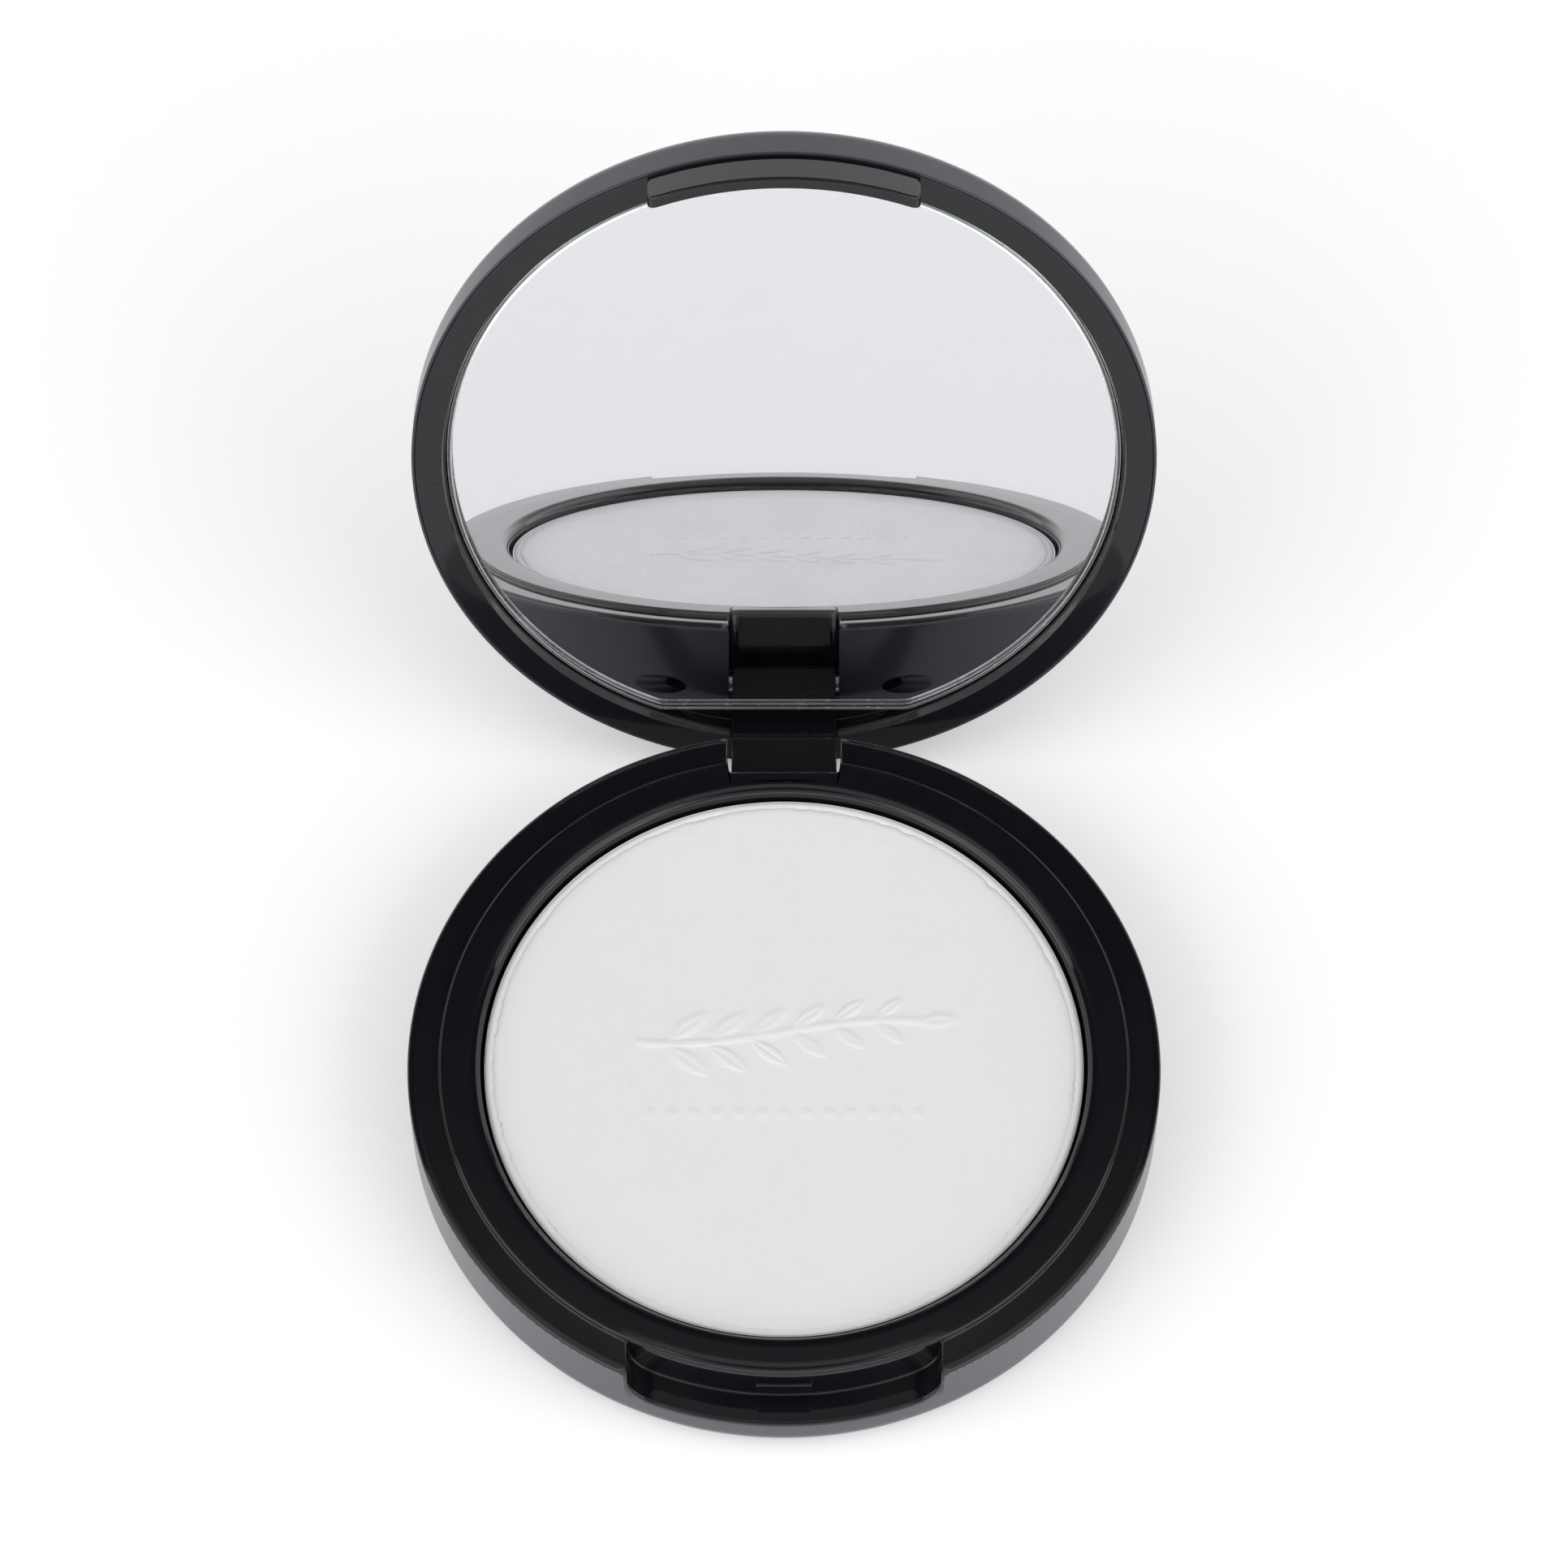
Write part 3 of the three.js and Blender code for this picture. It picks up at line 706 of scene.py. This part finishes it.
def make_base():
    shell = new_piece("base_cup", base_shell_skin(), SHELL, "base", "soft_touch_shell", ["base_shell"])
    cut_away(shell, "slot_cut", slot_cutter_skin())
    cut_away(shell, "pin_hole_cut", bar_skin(PIN_R + 0.08, (-20, 20), 0.01))
    even_shading(shell)
    gloss = ("base", "gloss_frame")
    even_shading(new_piece("base_inner_frame", base_frame_skin(), GLOSS, *gloss, ["base_frame"]))
    even_shading(new_piece("catch_nose", catch_skin(), GLOSS, *gloss, bevel=0.11))
    for side, node in ((-1, "hinge_pin_left"), (1, "hinge_pin_right")):
        ends = sorted(side * end for end in PIN_ENDS)
        skin = bar_skin(PIN_R, ends, 0.15)
        even_shading(new_piece(f"{node}_steel", skin, steel_look(), "base", "pin_steel", [node]))


# ---- Pan and powder ----
def pan_skin():
    """The metal pan, turned."""
    inside = PAN_R - 0.16
    outline = rounded([
        (0, PAN_BOTTOM, 0),
        (PAN_R, PAN_BOTTOM, 0.4),
        (PAN_R, PAN_TOP, 0.07),
        (inside, PAN_TOP, 0.07),
        (inside, PAN_BOTTOM + 0.35, 0.1),
        (0, PAN_BOTTOM + 0.35, 0),
    ])
    return turned(outline, closed_rib=False)


def leaf(x, y, centre, angle, length, width):
    """Height of an almond-shaped leaf with a fine middle vein, from 0 to 1."""
    dx, dy = x - centre[0], y - centre[1]
    along = (dx * math.cos(angle) + dy * math.sin(angle)) / (length / 2)
    across = (-dx * math.sin(angle) + dy * math.cos(angle)) / (width / 2)
    if abs(along) >= 1.15:
        return 0
    rim = abs(across) + along * along
    vein = 1 - eased(abs(across), 0.05, 0.3)
    return (1 - eased(rim, 0.62, 1.12)) * (1 - 0.45 * vein)


def sprig_leaves():
    """Leaves in pairs along a gently curved stem, and one at its tip."""
    leaves = []
    for i in range(6):
        x = -11.5 + 4.1 * i
        y = SPRIG_Y + 1.3 * math.sin(x / 7)
        size = 5.4 - 0.35 * i
        for side in (-1, 1):
            tilt = math.radians(38 * side)
            centre = (x + size / 2 * math.cos(tilt), y + size / 2 * math.sin(tilt) + 0.3 * side)
            leaves.append((centre, tilt, size, size * 0.36))
    leaves.append(((15.2, SPRIG_Y + 1.3 * math.sin(13 / 7)), 0.1, 4.6, 1.7))
    return leaves


def embossed(x, y, leaves):
    """Height of the pressed motif at a place: a leafy sprig over a row of beads."""
    height = 0
    if -16 < x < 19 and SPRIG_Y - 6 < y < SPRIG_Y + 7:
        height = max(leaf(x, y, *one) for one in leaves)
        if -14.5 < x < 14:
            off_stem = abs(y - SPRIG_Y - 1.3 * math.sin(x / 7))
            height = max(height, 0.9 * (1 - eased(off_stem, 0.15, 0.55)))
    if abs(x) < 13.5 and abs(y - BEADS_Y) < 1.2:
        nearest = BEAD_PITCH * round(x / BEAD_PITCH)
        height = max(height, 0.7 * (1 - eased(math.hypot(x - nearest, y - BEADS_Y), 0.3, 0.75)))
    return EMBOSS_DEPTH * height


def cake_skin():
    """Pressed powder: a flat top with the motif, a bevelled edge and the part inside the pan."""
    leaves = sprig_leaves()
    chips = random.Random(7)
    top = CAKE_TOP - EMBOSS_DEPTH
    edge = PAN_R - 0.17
    wear = 0.5
    ribs = []
    for i in range(POWDER_RIBS):
        t = math.radians(i * 360 / POWDER_RIBS)
        wear = 0.72 * wear + 0.28 * chips.random()
        chip = 0.07 + 0.12 * max(wear - 0.45, 0) / 0.2
        rim = POWDER_RIM_R - 1.3 * chip * chips.random()
        rings = [(FINE_STEP * k, top) for k in range(84)] + [(FINE_R + k, top) for k in range(1, 9)]
        # A chipped line runs just inside the pressed edge.
        rings += [(rim - 0.1, top - 0.004), (rim, top - 0.02 - 0.2 * chip)]
        rings += [(rim + 0.08, top - 0.04 - 0.75 * chip), (rim + 0.2, top - 0.05 - 0.2 * chip)]
        rings += [(29.0, top - 0.07), (edge - 0.04, top - 0.09), (edge, top - 0.15)]
        rings += [(edge, PAN_BOTTOM + 0.4), (0.0, PAN_BOTTOM + 0.4)]
        rib = []
        for radius, z in rings:
            x, y = radius * math.cos(t), radius * math.sin(t)
            lift = embossed(x, y, leaves) if radius < FINE_R + 0.1 and z == top else 0
            rib.append((x, y, z + lift))
        ribs.append(rib)
    return lofted(ribs, closed_rib=False)


def make_powder():
    pan = new_piece("godet", pan_skin(), pan_look(), "base", "pan_metal", ["powder_pan"])
    even_shading(pan)
    cake = new_piece("pressed_powder", cake_skin(), powder_look(), "base", "pressed_powder", ["powder_cake"])
    return even_shading(cake)


# ---- Lid ----
def lid_shell_skin():
    """The lid's cup, turned: its lip comes down outside the frame's flange."""
    inner, lip = CASE_R - WALL, LID_FLANGE_R + 0.06
    outline = rounded([
        (0, LID_TOP - WALL, 0),
        (inner, LID_TOP - WALL, 0.8),
        (inner, LID_RIM + 0.46, 0.03),
        (lip, LID_RIM + 0.46, 0.03),
        (lip, LID_RIM, 0.06),
        (CASE_R, LID_RIM, 0.12),
        (CASE_R, LID_TOP, LID_CORNER),
        (0, LID_TOP, 0),
    ], steps=10)
    return turned(outline, closed_rib=False)


def lid_frame_skin():
    """The lid's inner frame, turned: the rim's face, the wall round the mirror and the flange."""
    frame_top = RECESS_FLOOR + 1
    inner = CASE_R - WALL - 0.05
    outline = rounded([
        (0, RECESS_FLOOR, 0),
        (RECESS_R, RECESS_FLOOR, 0.15),
        (RECESS_R, MIRROR_FACE, 0.05),
        (RIM_OPENING_R, LID_RIM, 0.1),
        (LID_FLANGE_R, LID_RIM, 0.12),
        (LID_FLANGE_R, LID_RIM + 0.42, 0.03),
        (inner, LID_RIM + 0.42, 0.03),
        (inner, frame_top, 0.2),
        (0, frame_top, 0),
    ])
    return turned(outline, closed_rib=False)


def tab_skin():
    """The curved thumb tab: its section is swept across, and its lower corners are rounded."""
    tip = LID_RIM - TAB_DROP
    stations = [TAB_HALF * (i / 12 - 1) for i in range(1, 24)]
    stations = [x for x in stations if abs(x) < TAB_HALF - TAB_CORNER - 0.3]
    corner_turns = [math.radians(a) for a in (0, 15, 30, 45, 60, 72, 82, 90)]
    ends = [TAB_HALF - TAB_CORNER * (1 - math.sin(a)) for a in corner_turns]
    stations = sorted([-x for x in ends] + stations + ends)
    ribs = []
    for x in stations:
        past = max(abs(x) - (TAB_HALF - TAB_CORNER), 0)
        bottom = tip + TAB_CORNER - math.sqrt(max(TAB_CORNER**2 - past**2, 0))
        section = rounded([
            (TAB_R[0], bottom, 0.25),
            (TAB_R[1], bottom, 0.3),
            (TAB_R[1], LID_RIM + 0.4, 0),
            (TAB_R[0], LID_RIM + 0.4, 0),
        ], steps=7)
        ribs.append([(*straight_spot(x, radius, False), z) for radius, z in section])
    return lofted(ribs, wrap=False)


def ridge_skin():
    """The low ridge inside the tab that goes under the catch."""
    tip = LID_RIM - TAB_DROP
    near, far = TAB_R[0] - 0.25, TAB_R[0] + 0.2
    section = [(near, tip + 0.95), (far, tip + 0.75), (far, tip + 1.9), (near, tip + 1.7)]
    stations = [-4 + 0.5 * i for i in range(17)]
    ribs = [[(*straight_spot(x, radius, False), z) for radius, z in section] for x in stations]
    return lofted(ribs, wrap=False)


def arm_skin():
    """The hinge arm: round at the hinge, with a foot that runs up into the lid's frame."""
    side = arc(PIVOT.y, PIVOT.z, ARM_THICK, 180, 360, 24)
    side += [
        (PIVOT.y + ARM_THICK, LID_RIM + 0.2),
        (PIVOT.y + 0.6, LID_RIM + 1.2),
        (PIVOT.y + 0.6, RECESS_FLOOR + 0.5),
        (PIVOT.y - ARM_THICK, RECESS_FLOOR + 0.5),
    ]
    return prism(side, lambda y, z, end: (ARM_HALF * (2 * end - 1), y, z))


def mirror_outline(radius):
    """A circle with one straight edge, whose corners are rounded."""
    corner_r, chord = 3.0, MIRROR_CHORD - (MIRROR_R - radius)
    y = chord - corner_r
    x = math.sqrt((radius - corner_r) ** 2 - y * y)
    turn = math.degrees(math.atan2(y, x))
    outline = arc(x, y, corner_r, turn, 90, 8) + arc(-x, y, corner_r, 90, 180 - turn, 8)
    return outline + arc(0, 0, radius, 180 - turn, 360 + turn, 200)[1:-1]


def mirror_skin():
    """A glass plate with a ground slope round its face and a small bevel round its back."""
    bevel = 0.1
    levels = [
        (0.5, MIRROR_FACE),
        (0, MIRROR_FACE + 0.25),
        (0, MIRROR_BACK - bevel),
        (bevel, MIRROR_BACK),
    ]
    ribs = [[(x, y, z) for x, y in mirror_outline(MIRROR_R - inset)] for inset, z in levels]
    return lofted(ribs, wrap=False)


def silver_skin():
    """The silvering: a thin plate just inside the glass's back."""
    outline = mirror_outline(MIRROR_R - 0.2)
    ribs = [[(x, y, z) for x, y in outline] for z in (MIRROR_BACK + 0.004, MIRROR_BACK + 0.04)]
    return lofted(ribs, wrap=False)


def make_lid():
    cup = ("lid_cup", lid_shell_skin(), SHELL, "lid", "soft_touch_shell")
    even_shading(new_piece(*cup, ["lid_shell"], lid=True))
    gloss = ("lid", "gloss_frame")
    even_shading(new_piece("lid_inner_frame", lid_frame_skin(), LID_GLOSS, *gloss, ["lid_frame"], True))
    even_shading(new_piece("thumb_tab", tab_skin(), GLOSS, *gloss, lid=True, bevel=0.15))
    even_shading(new_piece("tab_ridge", ridge_skin(), GLOSS, *gloss, lid=True, bevel=0.06))
    even_shading(new_piece("hinge_arm", arm_skin(), GLOSS, *gloss, lid=True, bevel=0.12))
    looks = [glass_look(), ground_edge_painted_glint_look()]
    glass = new_piece("mirror_plate", mirror_skin(), looks, "lid", "mirror_glass", ["mirror"], True)
    slope_and_side = (MIRROR_BACK - 0.1) * MM
    for face in glass.data.polygons:
        if len(face.vertices) == 4 and face.center.z < slope_and_side:
            face.material_index = 1
        face.use_smooth = len(face.vertices) == 4
    glass.data.set_sharp_from_angle(angle=math.radians(15))
    silver = new_piece("mirror_silvering", silver_skin(), silver_look(), "lid", "mirror_glass", lid=True)
    silver.data.shade_flat()


# ---- Small pieces that keep their CAD shape ----
def finish_small_nodes():
    paper = plain_look("label_paper", (0.70, 0.70, 0.69), (0.78, 0.78, 0.77), 0.7, 900, 0.02)
    tape = plain_look("tape_foam", (0.72, 0.72, 0.70), (0.82, 0.82, 0.80), 0.8, 1800, 0.03)
    glue = plain_look("clear_glue", (0.70, 0.67, 0.56), (0.80, 0.78, 0.68), 0.35, 400, 0.05)
    for name, node in frame["nodes"].items():
        for start, look in (("base_label", paper), ("mirror_tape", tape), ("pan_glue", glue)):
            if name.startswith(start):
                node.data.materials.clear()
                node.data.materials.append(look)


# ---- Floor, light and camera ----
def make_floor():
    """The open compact stands on the base's front lower edge and the lid's lower back edge, so the
    floor is the plane that touches both."""
    corner_spots = arc(CASE_R - LID_CORNER, LID_TOP - LID_CORNER, LID_CORNER, 0, 90, 12)
    lid_edges = [LID_PLACE @ (Vector((0, y, z)) * MM) for y, z in corner_spots]
    lid_edges.append(LID_PLACE @ (Vector((0, CASE_R, LID_RIM)) * MM))
    front = Vector((0, -(CASE_R - BASE_CORNER) * MM, BASE_CORNER * MM))
    slope = min(math.atan2(p.z - front.z + BASE_CORNER * MM, p.y - front.y) for p in lid_edges)
    contact = front - Vector((0, -math.sin(slope), math.cos(slope))) * BASE_CORNER * MM
    mesh = bpy.data.meshes.new("floor")
    corners = [(x * FLOOR_SIZE, y * FLOOR_SIZE, 0) for x, y in ((-1, -1), (1, -1), (1, 1), (-1, 1))]
    mesh.from_pydata(corners, [], [(0, 1, 2, 3)])
    floor = linked("floor", mesh)
    floor.location = contact
    floor.rotation_euler.x = slope
    look = Look("pale_floor", Roughness=0.9, Specular_IOR_Level=0.0, Emission_Strength=0.24)
    look.set(look.shader, "Emission Color", (1, 1, 1))
    tone = look.mix(look.noise(6, 2), (0.93, 0.93, 0.93), (0.945, 0.945, 0.945))
    look.set(look.shader, "Base Color", tone)
    mesh.materials.append(look.material)


def make_soft_box(name, side):
    """A large soft light to one side, aimed at the case."""
    data = bpy.data.lights.new(name, "AREA")
    data.shape = "RECTANGLE"
    data.size, data.size_y = SOFT_BOX_SIZE
    data.energy = SOFT_BOX_POWER
    lamp = linked(name, data)
    x, y, z = SOFT_BOX_PLACE
    lamp.location = (side * x, y, z)
    aim = Vector((0, 0.02, 0.01)) - Vector((side * x, y, z))
    lamp.rotation_euler = aim.to_track_quat("-Z", "Y").to_euler()


def make_studio():
    world = bpy.data.worlds.new("studio")
    bpy.context.scene.world = world
    world.use_nodes = True
    nodes, links = world.node_tree.nodes, world.node_tree.links
    place = nodes.new("ShaderNodeTexCoord")
    split = nodes.new("ShaderNodeSeparateXYZ")
    links.new(place.outputs["Generated"], split.inputs[0])
    tilted = nodes.new("ShaderNodeVectorMath")
    tilted.operation = "DOT_PRODUCT"
    tilted.inputs[1].default_value = (0, -0.5, 0.866)
    links.new(place.outputs["Generated"], tilted.inputs[0])
    glow = nodes.new("ShaderNodeMath")
    glow.operation = "ADD"
    # A bright horizon from the white table and walls, a large diffuser above and in front, and the
    # dark opening in it that the photo was taken through.
    ramps = (
        (split.outputs[2], 0.26, 0.46, 1.2, 0.03),
        (tilted.outputs["Value"], 0.52, 0.70, 0.0, 0.78),
        (tilted.outputs["Value"], 0.945, 0.985, 1.0, 0.12),
    )
    parts = []
    for source, *limits in ramps:
        rise = nodes.new("ShaderNodeMapRange")
        rise.interpolation_type = "SMOOTHSTEP"
        links.new(source, rise.inputs[0])
        for k, limit in enumerate(limits):
            rise.inputs[k + 1].default_value = limit
        parts.append(rise.outputs[0])
    diffuser = nodes.new("ShaderNodeMath")
    diffuser.operation = "MULTIPLY"
    links.new(parts[1], diffuser.inputs[0])
    links.new(parts[2], diffuser.inputs[1])
    links.new(parts[0], glow.inputs[0])
    links.new(diffuser.outputs[0], glow.inputs[1])
    links.new(glow.outputs[0], nodes["Background"].inputs["Strength"])
    nodes["Background"].inputs["Color"].default_value = (1, 1, 1, 1)
    make_soft_box("soft_box_left", -1)
    make_soft_box("soft_box_right", 1)


def make_camera():
    data = bpy.data.cameras.new("camera")
    camera = linked("camera", data)
    towards = Vector((0, -math.cos(CAMERA_ELEVATION), math.sin(CAMERA_ELEVATION)))
    camera.location = CAMERA_AIM + CAMERA_DISTANCE * towards
    camera.rotation_euler = (math.pi / 2 - CAMERA_ELEVATION, 0, 0)
    data.sensor_width = 36
    data.lens = CAMERA_LENS
    data.clip_start, data.clip_end = 0.05, 10
    bpy.context.scene.camera = camera


make_camera()
make_base()
make_powder()
make_lid()
finish_small_nodes()
make_floor()
make_studio()
bpy.context.scene.view_settings.view_transform = "Standard"
